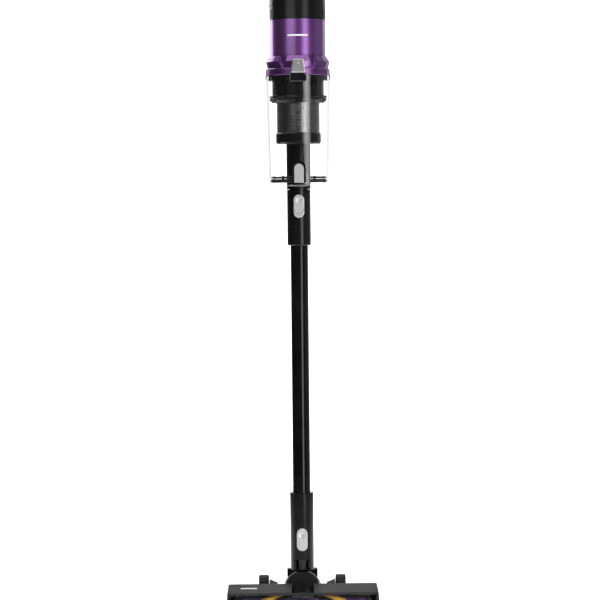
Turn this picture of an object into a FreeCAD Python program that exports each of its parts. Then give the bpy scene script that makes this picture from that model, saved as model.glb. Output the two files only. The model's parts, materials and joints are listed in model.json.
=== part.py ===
import FreeCAD, Part
import math
import os

# Cordless stick vacuum: floor head, knuckle, neck, wand and a hand unit with a
# clear dust bin. Millimetres, +Z up, the front of the machine faces -Y.
# Places are worked out about the wand's axis (x = 0, y = 0, floor at z = 0);
# every solid is moved by ORIGIN_Y when it is written, so that the origin is the
# middle of the machine's footprint.

V = FreeCAD.Vector
X_AXIS = V(1, 0, 0)
Y_AXIS = V(0, 1, 0)
Z_AXIS = V(0, 0, 1)

ORIGIN_Y = 8.8

# Fits
GAP = 0.4            # free gap between parts that move past each other
SHAFT_GAP = 0.05     # radial clearance of a shaft in its hole
WALL = 2.5           # moulded wall

# Floor head
HEAD_W = 245.0
HEAD_REAR = -24.0
HEAD_TOP = 65.0
HEAD_FLAT_FRONT = -95.0
HEAD_FRONT = -118.0
HEAD_BOTTOM = 5.0
CAP_T = 4.0          # side end caps
BRUSH_Y = -78.0
BRUSH_Z = 30.0
BRUSH_R = 30.0
CORE_R = 22.0
DUCT_COVER_W = 35.0
HEAD_DUCT_R = 10.5
HEAD_DUCT_Z = 25.0
WHEEL_R = 28.0
WHEEL_Y = 90.0
WHEEL_IN = 57.0
WHEEL_OUT = 74.0
ROLLER_R = 6.0
ROLLER_X = 85.0
ROLLER_Y = HEAD_REAR - 10.0
ROLLER_PIN_R = 2.0
NOSE_MID_IN = 6.0    # the nose arc's middle point, in from the front
NOSE_MID_Z = 52.0
NOSE_LOW_Z = 30.0
MOUTH_LIP = 9.0      # sole left in front of the brush mouth
MOUTH_SIDE = 6.0     # sole left at each side of it
WINDOW_LOW = 24.0
DUCT_COVER_R = 24.0
DUCT_COVER_PROUD = 0.8
BOSS_R = 9.0
BOSS_LEN = 5.0
BEARING_R = 5.9
STUB_R = 3.0         # stub shafts of the brush roll
BRUSH_MOTOR_R = 15.0
BRUSH_MOTOR_SPAN = (8.0, 78.0)
BUMPER_T = 2.5
BUMPER_Z = (9.0, 23.0)
BLADE_T = 2.2
BLADE_Z = (1.0, 7.4)
SCREW_X = (-105.0, -45.0, 45.0, 105.0)
SCREW_HEAD_R = 3.2
SCREW_HEAD_T = 1.6
AXLE_R = 4.0
ARM_X = (42.0, 56.0)
ARM_LOW = 18.0
ARM_TOP = (41.0, 46.5)
ARM_HALF = 12.0
LUG_R = 15.0
HUB_R = 8.0
RIM_T = 7.0

# Knuckle and neck
PITCH_Y = -2.0
PITCH_Z = 32.0
SWIVEL_Z = 54.0
DOME_R = 28.3
DOME_FRONT = -14.0
DOME_REAR = 6.5
NECK_R = 19.2
NECK_BOTTOM = 85.0
NECK_TOP = 166.2
YOKE_R = 24.0
PITCH_PIN_R = 5.0
SWIVEL_PIN_R = 4.0
SWIVEL_HEAD_R = 7.0
SWIVEL_HEAD_Y = (19.0, 20.5)
SPIGOT_R = 12.4
NECK_BORE_R = 9.0
INNER_DUCT_R = 9.6
INNER_DUCT_Y = -6.6

# Wand
TUBE_R = 14.4
COLLAR_R = 19.35
LOWER_COLLAR = (166.6, 213.6)
UPPER_COLLAR = (622.3, 714.2)
TUBE_SPAN = (178.0, 664.0)
BUTTON_W = 17.4
BUTTON_H = 38.0
BUTTON_PROUD = 2.0
TUBE_WALL = 1.2
SOCKET_R = 15.5
SPOUT_R = 14.9
SPOUT_BOTTOM = 668.0

# Hand unit
BIN_Y = -75.0
DUCT_R = 19.7
DUCT_TOP = 905.0
BIN_TOP = 894.5
BIN_BOTTOM = 724.3
BIN_R_TOP = 51.5
BIN_R_BOTTOM = 47.7
BIN_WALL = 2.2
LIP_Z = (894.9, 905.8)
LIP_R = 51.1
RING_TOP = 927.5
SHELL_R = 44.15
SHELL_TOP = 982.8
HOUSING_R = 44.65
HOUSING_TOP = 1040.0
CAP_TOP = 1088.0
HANDLE_W = 34.0
BATTERY_W = 60.0
BATTERY_Y = (58.0, 150.0)
BATTERY_Z = (815.0, 891.7)
JACK_R = 2.75
JACK_DEPTH = 9.5
JACK_Z = 832.0
SOCKET_BODY_R = 6.0
SOCKET_BODY_LEN = 11.0
CELL_R = 8.0
CELL_PITCH = (16.15, 20.0)
VENT_Z = (985.6, 1000.0)
VENTS = 7
VENT_STEP = 8.0
SEAM_Z = (1005.6, 1008.0)
OUTLET_Z = (1048.0, 1068.0)
OUTLETS = 24
PLEATS = 36
PLEAT_R = (34.0, 39.0)
FAN_R = 33.0
FAN_Z = (946.0, 1000.0)
FAN_FLANGE_T = 6.0
FAN_NOSE = (12.0, 1012.0)
SHROUD_R = 33.8
SHROUD_Z = (805.0, 852.0)
FOAM_R = (16.0, 30.0)
FOAM_TOP = 880.0
LOBES = 6
LID_R = 47.0
LID_Z = (720.0, 723.9)
SPIGOT_WALL_R = 42.0
LATCH_Y = (-132.4, -127.0)


def save(name, shape):
    """Write one sub-part, moved to the footprint's origin."""
    moved = shape.removeSplitter()
    moved.translate(V(0, -ORIGIN_Y, 0))
    moved.exportStep("parts/%s.step" % name)


def box(x0, x1, y0, y1, z0, z1):
    return Part.makeBox(x1 - x0, y1 - y0, z1 - z0, V(x0, y0, z0))


def cyl(radius, start, axis, length):
    return Part.makeCylinder(radius, length, start, axis)


def cyl_z(radius, z0, z1, y=0.0, x=0.0):
    return cyl(radius, V(x, y, z0), Z_AXIS, z1 - z0)


def cyl_x(radius, x0, x1, y, z):
    return cyl(radius, V(x0, y, z), X_AXIS, x1 - x0)


def cyl_y(radius, y0, y1, x, z):
    return cyl(radius, V(x, y0, z), Y_AXIS, y1 - y0)


def pipe_z(outer, inner, z0, z1, y=0.0, x=0.0):
    return cyl_z(outer, z0, z1, y, x).cut(cyl_z(inner, z0, z1, y, x))


def prism_x(points, x0, x1):
    """Extrude a side outline, given as (y, z) points, along X."""
    wire = Part.makePolygon([V(x0, y, z) for y, z in points + points[:1]])
    return Part.Face(wire).extrude(V(x1 - x0, 0, 0))


def prism_y(points, y0, y1):
    """Extrude a front outline, given as (x, z) points, along Y."""
    wire = Part.makePolygon([V(x, y0, z) for x, z in points + points[:1]])
    return Part.Face(wire).extrude(V(0, y1 - y0, 0))


def turned(points, y=0.0):
    """Turn an outline of (r, z) points about a vertical axis at y."""
    wire = Part.makePolygon([V(r, y, z) for r, z in points + points[:1]])
    return Part.Face(wire).revolve(V(0, y, 0), Z_AXIS, 360)


def oblong_y(width, height, y0, y1, z):
    """A plate with round ends, standing along Z and extruded along Y."""
    half = (height - width) / 2
    body = box(-width / 2, width / 2, y0, y1, z - half, z + half)
    for end in (z - half, z + half):
        body = body.fuse(cyl_y(width / 2, y0, y1, 0, end))
    return body.removeSplitter()


def arch_y(width, y0, y1, z0, z1):
    """A plate with a round top, extruded along Y."""
    body = box(-width / 2, width / 2, y0, y1, z0, z1 - width / 2)
    return body.fuse(cyl_y(width / 2, y0, y1, 0, z1 - width / 2)).removeSplitter()


def mirrored(shape):
    return shape.mirror(V(0, 0, 0), X_AXIS)


def join(parts):
    whole = parts[0]
    for part in parts[1:]:
        whole = whole.fuse(part)
    return whole.removeSplitter()


def rounded(shape, radius, keep=lambda edge: True):
    return shape.makeFillet(radius, [edge for edge in shape.Edges if keep(edge)])


def upright(edge):
    """True for a straight edge along Z."""
    ends = edge.Vertexes
    return len(ends) == 2 and abs(ends[0].X - ends[1].X) < 0.01 and abs(ends[0].Y - ends[1].Y) < 0.01


COIL_STEPS = 12


def coil(radius, wire, turns, length, start, axis):
    """A compression spring of whole turns along an axis, lofted through wire sections."""
    steps = COIL_STEPS * turns
    rise = (length - wire) / steps
    sections = []
    for i in range(steps + 1):
        angle = 2 * math.pi * i / COIL_STEPS
        centre = V(radius * math.cos(angle), radius * math.sin(angle), wire / 2 + rise * i)
        forward = V(-math.sin(angle), math.cos(angle), 0)
        sections.append(Part.Wire([Part.makeCircle(wire / 2, centre, forward)]))
    spring = Part.makeLoft(sections, True, False)
    spring.Placement = FreeCAD.Placement(start, FreeCAD.Rotation(Z_AXIS, axis)).multiply(spring.Placement)
    return spring


# ---------------------------------------------------------------- floor head

def head_outline(inset=0.0):
    """Closed side outline of the head, as a face in the YZ plane at x = 0."""
    top = HEAD_TOP - inset
    rear = HEAD_REAR - inset
    bottom = HEAD_BOTTOM + inset
    front = HEAD_FRONT + inset
    flat_end = V(0, HEAD_FLAT_FRONT, top)
    nose_mid = V(0, front + NOSE_MID_IN, NOSE_MID_Z)
    nose_low = V(0, front, NOSE_LOW_Z)
    edges = [
        Part.LineSegment(V(0, rear, bottom), V(0, rear, top)).toShape(),
        Part.LineSegment(V(0, rear, top), flat_end).toShape(),
        Part.Arc(flat_end, nose_mid, nose_low).toShape(),
        Part.LineSegment(nose_low, V(0, front, bottom)).toShape(),
        Part.LineSegment(V(0, front, bottom), V(0, rear, bottom)).toShape(),
    ]
    return Part.Face(Part.Wire(edges))


def head_solid(inset, half_width):
    face = head_outline(inset)
    face.translate(V(-half_width, 0, 0))
    return face.extrude(V(2 * half_width, 0, 0))


INNER_W = HEAD_W / 2 - CAP_T          # half width between the end caps
BRUSH_BAY = (HEAD_FRONT + 1.0, BRUSH_Y + BRUSH_R + 2.0)
SHELL_SPLIT = 38.0                    # height where cover meets base
WINDOW_REAR = HEAD_FLAT_FRONT - 3.0


def head_shell():
    return head_solid(0.0, INNER_W).cut(head_solid(WALL, INNER_W))


def roller_pocket(side):
    x = side * ROLLER_X
    return box(x - 9.0, x + 9.0, ROLLER_Y - 7.0, ROLLER_Y + 7.0, HEAD_BOTTOM - 1.0, 16.0)


def head_base():
    """Lower shell with the open brush mouth, the wall behind it and the duct hole."""
    low = box(-INNER_W, INNER_W, HEAD_FRONT, HEAD_REAR, 0, SHELL_SPLIT)
    shell = head_shell().common(low)
    half = INNER_W - MOUTH_SIDE
    mouth = box(-half, half, HEAD_FRONT + MOUTH_LIP, BRUSH_BAY[1], 0, SHELL_SPLIT)
    shell = shell.cut(mouth.common(box(-200, 200, -200, 200, 0, HEAD_BOTTOM + WALL)))
    front_gap = box(-INNER_W, INNER_W, HEAD_FRONT - 1, HEAD_FRONT + MOUTH_LIP, WINDOW_LOW, SHELL_SPLIT)
    shell = shell.cut(front_gap)
    wall = box(-INNER_W, INNER_W, BRUSH_BAY[1], BRUSH_BAY[1] + WALL, HEAD_BOTTOM + WALL, SHELL_SPLIT)
    shell = shell.fuse(wall)
    shell = shell.cut(cyl_y(HEAD_DUCT_R, BRUSH_BAY[1] - 1, HEAD_REAR + 1, 0, HEAD_DUCT_Z))
    for side in (-1, 1):
        x = side * ROLLER_X
        bay = box(x - 11.0, x + 11.0, ROLLER_Y - 9.0, HEAD_REAR - WALL, HEAD_BOTTOM, 18.0)
        shell = shell.fuse(bay).cut(roller_pocket(side))
        shell = shell.cut(cyl_x(ROLLER_PIN_R + SHAFT_GAP, x - 10.0, x + 10.0, ROLLER_Y, ROLLER_R))
    return shell.cut(squeegee_strip())


def cover_slot():
    half = DUCT_COVER_W / 2 + 0.3
    return box(-half, half, HEAD_FLAT_FRONT - 0.3, 0, SHELL_SPLIT, 100)


def head_cover():
    """Upper shell, from the rear edge to the window's seam, slotted for the duct cover."""
    high = box(-INNER_W, INNER_W, WINDOW_REAR, HEAD_REAR, SHELL_SPLIT, HEAD_TOP)
    cover = head_shell().common(high)
    ribs = []
    for side in (-1, 1):
        inner = side * (DUCT_COVER_W / 2 + 0.3)
        outer = side * (DUCT_COVER_W / 2 + 2.3)
        low, up = sorted((inner, outer))
        ribs.append(box(low, up, HEAD_REAR - 16.0, HEAD_REAR - WALL, 50.0, HEAD_TOP - WALL))
    return join([cover] + ribs).cut(cover_slot())


def head_window():
    """Clear nose window over the brush."""
    nose = box(-INNER_W, INNER_W, HEAD_FRONT - 1, WINDOW_REAR - 0.2, WINDOW_LOW, HEAD_TOP)
    return head_shell().common(nose)


def duct_cover():
    """Half-round suction duct cover that fills the slot in the top of the head."""
    half = DUCT_COVER_W / 2
    centre_z = HEAD_TOP + DUCT_COVER_PROUD - DUCT_COVER_R
    length = (HEAD_FLAT_FRONT, HEAD_REAR)
    outer = cyl_y(DUCT_COVER_R, length[0], length[1], 0, centre_z)
    inner = cyl_y(DUCT_COVER_R - WALL, length[0] + WALL, length[1], 0, centre_z)
    top = box(-half, half, length[0], length[1], SHELL_SPLIT + 14.0, 100)
    shell = outer.cut(inner).common(top)
    return shell.cut(cyl_x(BRUSH_R + 1.0, -50, 50, BRUSH_Y, BRUSH_Z))


def end_cap(side):
    """Side plate of the head with the boss that carries the brush bearing."""
    plate = head_solid(0.0, HEAD_W / 2).common(
        box(INNER_W + 0.05, HEAD_W / 2, -200, 200, 0, 200))
    outer_edges = [e for e in plate.Edges if all(abs(v.X - HEAD_W / 2) < 0.01 for v in e.Vertexes)]
    plate = plate.makeFillet(1.6, outer_edges)
    boss = cyl_x(BOSS_R, INNER_W - BOSS_LEN, INNER_W + 1.0, BRUSH_Y, BRUSH_Z)
    hole = cyl_x(BEARING_R + 0.1, INNER_W - BOSS_LEN, INNER_W - 1.0, BRUSH_Y, BRUSH_Z)
    cap = plate.fuse(boss).cut(hole)
    return cap if side > 0 else mirrored(cap)


def brush_bearings():
    ring = cyl_x(BEARING_R, INNER_W - BOSS_LEN, INNER_W - 1.0, BRUSH_Y, BRUSH_Z)
    ring = ring.cut(cyl_x(STUB_R + SHAFT_GAP, INNER_W - BOSS_LEN, INNER_W - 1.0, BRUSH_Y, BRUSH_Z))
    return Part.makeCompound([ring, mirrored(ring)])


def brush_core():
    """Hollow brush roll with end plates and stub shafts; the motor sits inside its right half."""
    half = INNER_W - 6.0
    tube = cyl_x(CORE_R, -half, half, BRUSH_Y, BRUSH_Z)
    tube = tube.cut(cyl_x(CORE_R - 3.0, -half + 3.0, half - 3.0, BRUSH_Y, BRUSH_Z))
    shafts = [cyl_x(STUB_R, half - 0.5, half + 4.5, BRUSH_Y, BRUSH_Z)]
    shafts.append(mirrored(shafts[0]))
    hub = cyl_x(12.0, -4.0, 4.0, BRUSH_Y, BRUSH_Z).fuse(
        cyl_x(CORE_R - 2.0, -1.5, 1.5, BRUSH_Y, BRUSH_Z))
    return join([tube, hub] + shafts)


def brush_motor():
    """Drive motor carried on the roll's axis, turning with its magnet can."""
    can = cyl_x(BRUSH_MOTOR_R, BRUSH_MOTOR_SPAN[0], BRUSH_MOTOR_SPAN[1], BRUSH_Y, BRUSH_Z)
    nose = cyl_x(BRUSH_MOTOR_R / 3, 4.0, BRUSH_MOTOR_SPAN[0], BRUSH_Y, BRUSH_Z)
    return can.fuse(nose).removeSplitter()


def brush_pile():
    half = INNER_W - 7.0
    pile = cyl_x(BRUSH_R, -half, half, BRUSH_Y, BRUSH_Z)
    return pile.cut(cyl_x(CORE_R, -half, half, BRUSH_Y, BRUSH_Z))


def front_bumper():
    """Soft strip across the front of the nose, under the window."""
    strip = box(-INNER_W, INNER_W, HEAD_FRONT - BUMPER_T, HEAD_FRONT, BUMPER_Z[0], BUMPER_Z[1])
    return strip.makeFillet(2.0, [e for e in strip.Edges
                                  if all(abs(v.Y - HEAD_FRONT + BUMPER_T) < 0.01 for v in e.Vertexes)])


def squeegee_strip():
    """Wiper blade in its groove behind the brush mouth."""
    half = INNER_W - 6.5
    y = BRUSH_BAY[1] + 2.0
    return box(-half, half, y - BLADE_T / 2, y + BLADE_T / 2, BLADE_Z[0], BLADE_Z[1])


def sole_roller(side):
    x = side * ROLLER_X
    wheel = cyl_x(ROLLER_R, x - 7.0, x + 7.0, ROLLER_Y, ROLLER_R)
    wheel = wheel.makeFillet(1.2, [e for e in wheel.Edges if e.Curve.TypeId == "Part::GeomCircle"])
    return wheel.fuse(cyl_x(ROLLER_PIN_R, x - 9.7, x + 9.7, ROLLER_Y, ROLLER_R)).removeSplitter()


def head_screws():
    """Four screws up through the sole into the cover's posts."""
    screws = []
    for x in SCREW_X:
        y = HEAD_REAR - (12.0 if abs(x) > ROLLER_X else 7.0)
        head = cyl_z(SCREW_HEAD_R, HEAD_BOTTOM - SCREW_HEAD_T, HEAD_BOTTOM, y, x)
        head = head.cut(box(x - 2.2, x + 2.2, y - 0.5, y + 0.5, 0, HEAD_BOTTOM - SCREW_HEAD_T / 2))
        screws.append(head)
    return Part.makeCompound(screws)


LUG_IN = 31.0
LUG_OUT = 40.0


def rear_carriage():
    """Two lugs for the knuckle, a cradle under it, and the arms out to the rear wheels."""
    lugs = []
    for side in (-1, 1):
        low, up = sorted((side * LUG_IN, side * LUG_OUT))
        lug = box(low, up, HEAD_REAR, PITCH_Y + 4.0, 10.0, 44.0)
        lug = lug.fuse(cyl_x(LUG_R, low, up, PITCH_Y, PITCH_Z - 3.0))
        lug = lug.cut(cyl_x(PITCH_PIN_R, low, up, PITCH_Y, PITCH_Z))
        inner, outer = LUG_IN + 0.5, LUG_OUT - 0.5
        root = [(inner, 16.0), (outer, 16.0), (outer, 36.0), (inner, 36.0), (inner, 16.0)]
        end = [(ARM_X[0], ARM_LOW), (ARM_X[1], ARM_LOW), (ARM_X[1], ARM_TOP[1]), (ARM_X[0], ARM_TOP[0])]
        near = Part.makePolygon([V(side * x, 8.0, z) for x, z in root])
        far = Part.makePolygon([V(side * x, WHEEL_Y - ARM_HALF, z) for x, z in end + end[:1]])
        arm = Part.makeLoft([near, far], True, True)
        low, up = sorted((side * ARM_X[0], side * ARM_X[1]))
        tip = prism_y([(side * x, z) for x, z in end], WHEEL_Y - ARM_HALF, WHEEL_Y + ARM_HALF)
        hole = cyl_x(AXLE_R, low, up, WHEEL_Y, WHEEL_R)
        lugs.append(join([lug, arm, tip]).cut(hole))
    tie = box(-LUG_IN - 1, LUG_IN + 1, HEAD_REAR, HEAD_REAR + 4.0, 10.0, 30.0)
    tie = tie.cut(cyl_y(HEAD_DUCT_R, HEAD_REAR - 1, HEAD_REAR + 5.0, 0, HEAD_DUCT_Z))
    return join(lugs + [tie])


def wheel_axles():
    axle = cyl_x(AXLE_R, ARM_X[0] + 2.0, WHEEL_OUT + 1.0, WHEEL_Y, WHEEL_R)
    axle = axle.fuse(cyl_x(AXLE_R + 2.0, WHEEL_OUT + 0.4, WHEEL_OUT + 1.4, WHEEL_Y, WHEEL_R)).removeSplitter()
    return Part.makeCompound([axle, mirrored(axle)])


def rear_wheel(side):
    wheel = cyl_x(WHEEL_R, WHEEL_IN, WHEEL_OUT, WHEEL_Y, WHEEL_R)
    rims = [e for e in wheel.Edges if e.Curve.TypeId == "Part::GeomCircle"]
    wheel = wheel.makeFillet(2.0, rims)
    dish = cyl_x(WHEEL_R - RIM_T, WHEEL_OUT - 3.0, WHEEL_OUT + 1, WHEEL_Y, WHEEL_R)
    boss = cyl_x(HUB_R, WHEEL_OUT - 3.5, WHEEL_OUT - 0.2, WHEEL_Y, WHEEL_R)
    wheel = wheel.cut(dish).fuse(boss)
    wheel = wheel.cut(cyl_x(AXLE_R + SHAFT_GAP, WHEEL_IN - 1, WHEEL_OUT + 1, WHEEL_Y, WHEEL_R))
    return wheel if side > 0 else mirrored(wheel)


# ---------------------------------------------------------- knuckle and neck

def knuckle():
    """Domed elbow that pitches on the two pins and carries the neck's swivel pin."""
    dome = cyl_y(DOME_R, DOME_FRONT, DOME_REAR, 0, SWIVEL_Z)
    rims = [e for e in dome.Edges if e.Curve.TypeId == "Part::GeomCircle"
            and abs(e.Vertexes[0].Y - DOME_FRONT) < 0.01]
    dome = dome.makeChamfer(2.6, rims)
    dome = dome.common(box(-40, 40, -40, 40, 36.0, 120))
    barrel = cyl_x(14.5, -LUG_IN + 0.5, LUG_IN - 0.5, PITCH_Y, PITCH_Z)
    swivel_room = box(-26.0, 26.0, DOME_REAR, 40, 0, 120)
    body = join([dome, barrel.cut(swivel_room)])
    body = body.cut(cyl_y(SWIVEL_PIN_R, DOME_FRONT + 6, DOME_REAR + 1, 0, SWIVEL_Z))
    body = body.cut(cyl_y(10.0, -40, PITCH_Y, 0, PITCH_Z - 4.0))
    for x0, x1 in ((-LUG_IN, -14.0), (14.0, LUG_IN)):
        body = body.cut(cyl_x(PITCH_PIN_R + SHAFT_GAP, x0, x1, PITCH_Y, PITCH_Z))
    return body


def knuckle_pins():
    pin = cyl_x(PITCH_PIN_R, 14.8, LUG_OUT, PITCH_Y, PITCH_Z)
    return Part.makeCompound([pin, mirrored(pin)])


def swivel_pin():
    """Pin fixed in the yoke and turning in the dome."""
    shaft = cyl_y(SWIVEL_PIN_R - SHAFT_GAP, DOME_FRONT + 6.5, SWIVEL_HEAD_Y[0], 0, SWIVEL_Z)
    head = cyl_y(SWIVEL_HEAD_R, SWIVEL_HEAD_Y[0], SWIVEL_HEAD_Y[1], 0, SWIVEL_Z)
    return shaft.fuse(head).removeSplitter()


def button_pocket(z, floor_y):
    return oblong_y(BUTTON_W + 2 * GAP, BUTTON_H + 2 * GAP, -COLLAR_R - 5, floor_y, z)


NECK_BUTTON_Z = 137.0
WAND_BUTTON_Z = 687.1
NECK_POCKET = -9.0
WAND_POCKET = -11.4


def neck_housing():
    """Upright neck: front window over the inner duct, yoke plate behind the dome."""
    body = cyl_z(NECK_R, NECK_BOTTOM, NECK_TOP)
    spigot = pipe_z(SPIGOT_R, SPIGOT_R - 1.8, NECK_TOP - 6, 186.0)
    yoke = cyl_y(YOKE_R, DOME_REAR + GAP, NECK_R - 0.2, 0, SWIVEL_Z)
    link = box(-NECK_R + 3, NECK_R - 3, DOME_REAR + GAP, NECK_R - 4, SWIVEL_Z, NECK_BOTTOM + 2)
    ears = box(-25.3, 25.3, DOME_REAR + GAP, NECK_R - 3.0, 69.0, 84.0)
    ears = rounded(ears, 2.0, lambda e: len(e.Vertexes) == 2
                   and abs(e.Vertexes[0].Y - e.Vertexes[1].Y) > 1)
    window = prism_y([(-13.6, NECK_BOTTOM - 1), (13.6, NECK_BOTTOM - 1), (11.0, 90.0),
                      (11.0, 99.0), (13.6, 103.0), (-13.6, 103.0), (-11.0, 99.0), (-11.0, 90.0)],
                     -30, -3.0)
    bore = cyl_z(NECK_BORE_R, NECK_BOTTOM + 8.0, NECK_TOP + 30, 2.0)
    body = join([body, spigot, yoke, link, ears])
    body = body.cut(window).cut(bore).cut(button_pocket(NECK_BUTTON_Z, NECK_POCKET))
    return body.cut(cyl_y(SWIVEL_PIN_R - SHAFT_GAP, 0, 30, 0, SWIVEL_Z))


def neck_inner_duct():
    """Ribbed inner duct seen in the neck's front window."""
    duct = cyl_z(INNER_DUCT_R, NECK_BOTTOM + 0.8, 102.5, INNER_DUCT_Y)
    duct = duct.common(box(-20, 20, -40, -3.1, 0, 200))
    return duct.cut(cyl_z(INNER_DUCT_R - 1.8, NECK_BOTTOM, 200, INNER_DUCT_Y))


def release_button(z, back_y):
    """Oblong thumb button with a round thumb dish in its upper half."""
    front = -COLLAR_R - BUTTON_PROUD
    plate = oblong_y(BUTTON_W, BUTTON_H, front, back_y, z)
    face = [e for e in plate.Edges if all(abs(v.Y - front) < 0.01 for v in e.Vertexes)]
    plate = plate.makeFillet(1.4, face)
    dish = Part.makeSphere(16.0, V(0, front - 15.1, z + 9.0))
    return plate.cut(dish)


def button_spring(z, back_y, floor_y):
    length = floor_y - back_y - 0.1
    return coil(3.6, 0.7, 2, length, V(0, back_y + 0.05, z), Y_AXIS)


NECK_BUTTON_BACK = -14.5
WAND_BUTTON_BACK = -15.2


# --------------------------------------------------------------------- wand

def wand_tube():
    return pipe_z(TUBE_R, TUBE_R - TUBE_WALL, TUBE_SPAN[0], TUBE_SPAN[1])


def lower_collar():
    body = pipe_z(COLLAR_R, TUBE_R, LOWER_COLLAR[0], LOWER_COLLAR[1])
    top = [e for e in body.Edges if e.Curve.TypeId == "Part::GeomCircle"
           and abs(e.Vertexes[0].Z - LOWER_COLLAR[1]) < 0.01 and e.Curve.Radius > TUBE_R + 1]
    return body.makeFillet(1.0, top)


def upper_collar():
    """Collar with the latch button's pocket and the socket for the hand unit's spout."""
    body = cyl_z(COLLAR_R, UPPER_COLLAR[0], UPPER_COLLAR[1])
    low = [e for e in body.Edges if e.Curve.TypeId == "Part::GeomCircle"
           and abs(e.Vertexes[0].Z - UPPER_COLLAR[0]) < 0.01]
    body = body.makeFillet(3.0, low)
    body = body.cut(cyl_z(TUBE_R, UPPER_COLLAR[0] - 1, TUBE_SPAN[1]))
    body = body.cut(cyl_z(TUBE_R - TUBE_WALL, TUBE_SPAN[1] - 1, TUBE_SPAN[1] + 4))
    socket = cyl_z(SOCKET_R, TUBE_SPAN[1] + 3, UPPER_COLLAR[1] + 1)
    socket = socket.common(box(-30, 30, -10.0, 30, 0, 1200))
    return body.cut(socket).cut(button_pocket(WAND_BUTTON_Z, WAND_POCKET))


# ---------------------------------------------------------------- hand unit

def inlet_duct():
    """Suction duct behind the bin, with the spout that plugs into the wand."""
    duct = cyl_z(DUCT_R, UPPER_COLLAR[1] + 0.4, RING_TOP)
    elbow = box(-DUCT_R, DUCT_R, BIN_Y + 30, 0, DUCT_TOP + 1.2, RING_TOP)
    spout = cyl_z(SPOUT_R, SPOUT_BOTTOM, UPPER_COLLAR[1] + 1).common(box(-30, 30, -9.4, 30, 0, 1200))
    bore = cyl_z(11.0, 660.0, RING_TOP - 12.0, 3.0)
    body = join([duct, elbow, spout]).cut(bore)
    return body.cut(cyl_z(LIP_R + 0.1, 800, 1100, BIN_Y))


def ring_lobe():
    """One raised trapezoid facet on the front of the ring."""
    face = [(-23.4, LIP_Z[1]), (23.4, LIP_Z[1]), (15.8, 925.4), (-15.8, 925.4)]
    block = prism_y(face, BIN_Y - 60, BIN_Y)
    skin = turned([(40.0, LIP_Z[1]), (48.0, LIP_Z[1]), (51.2, 916.5), (45.4, 926.0), (40.0, 926.0)], BIN_Y)
    return block.common(skin)


def facet_ring():
    """Purple collar between the motor shell and the bin: six facets and a lip."""
    base = turned([(38.0, LIP_Z[1]), (46.8, LIP_Z[1]), (46.8, LIP_Z[1] + 0.8), (44.9, LIP_Z[1] + 1.8),
                   (44.4, 917.0), (SHELL_R, RING_TOP), (38.0, RING_TOP)], BIN_Y)
    lip = turned([(45.6, LIP_Z[0]), (LIP_R - 0.6, LIP_Z[0]), (LIP_R, LIP_Z[0] + 0.6),
                  (LIP_R, LIP_Z[1] - 0.8), (LIP_R - 0.8, LIP_Z[1]), (45.6, LIP_Z[1])], BIN_Y)
    pieces = [base, lip]
    for step in range(LOBES):
        lobe = ring_lobe()
        lobe.rotate(V(0, BIN_Y, 0), Z_AXIS, 360.0 / LOBES * step)
        pieces.append(lobe)
    ring = join(pieces)
    return ring.cut(box(-DUCT_R - 0.1, DUCT_R + 0.1, BIN_Y + LIP_R - 8, 40, LIP_Z[1], RING_TOP))


def motor_shell():
    return pipe_z(SHELL_R, SHELL_R - WALL, RING_TOP, SHELL_TOP, BIN_Y)


def upper_housing():
    """Black housing above the motor shell, with upright vent slots at both sides."""
    body = pipe_z(HOUSING_R, HOUSING_R - WALL, SHELL_TOP, HOUSING_TOP, BIN_Y)
    seam = pipe_z(HOUSING_R + 0.5, HOUSING_R - 1, SEAM_Z[0], SEAM_Z[1], BIN_Y)
    body = body.fuse(seam)
    for side in (0, 180):
        for step in range(VENTS):
            slot = box(HOUSING_R - 6, HOUSING_R + 3, BIN_Y - 1.3, BIN_Y + 1.3, VENT_Z[0], VENT_Z[1])
            slot.rotate(V(0, BIN_Y, 0), Z_AXIS, side + VENT_STEP * (step - VENTS // 2))
            body = body.cut(slot)
    return body


def exhaust_cap():
    """Lift-off rear filter cap with a ring of outlet slots."""
    outer = turned([(0, HOUSING_TOP + 0.4), (HOUSING_R, HOUSING_TOP + 0.4), (HOUSING_R, CAP_TOP - 12),
                    (HOUSING_R - 4, CAP_TOP - 4), (HOUSING_R - 12, CAP_TOP), (0, CAP_TOP)], BIN_Y)
    inner = cyl_z(HOUSING_R - WALL, HOUSING_TOP, CAP_TOP - 12 - WALL, BIN_Y)
    cap = outer.cut(inner)
    for step in range(OUTLETS):
        slot = box(HOUSING_R - 5, HOUSING_R + 3, BIN_Y - 1.4, BIN_Y + 1.4, OUTLET_Z[0], OUTLET_Z[1])
        slot.rotate(V(0, BIN_Y, 0), Z_AXIS, 360.0 / OUTLETS * step)
        cap = cap.cut(slot)
    return cap


def exhaust_filter():
    """Pleated filter ring held in the cap."""
    points = []
    for step in range(2 * PLEATS):
        radius = PLEAT_R[step % 2]
        angle = math.pi * step / PLEATS
        points.append(V(radius * math.cos(angle), BIN_Y + radius * math.sin(angle), HOUSING_TOP + 2))
    points.append(points[0])
    outer = Part.Face(Part.makePolygon(points)).extrude(V(0, 0, 30.0))
    return outer.cut(cyl_z(30.0, HOUSING_TOP, CAP_TOP, BIN_Y))


def fan_motor():
    can = cyl_z(FAN_R, FAN_Z[0], FAN_Z[1], BIN_Y)
    flange = cyl_z(SHELL_R - WALL - 0.1, FAN_Z[0] - FAN_FLANGE_T, FAN_Z[0], BIN_Y)
    nose = cyl_z(FAN_NOSE[0], FAN_Z[1], FAN_NOSE[1], BIN_Y)
    return join([can, flange, nose])


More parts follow.
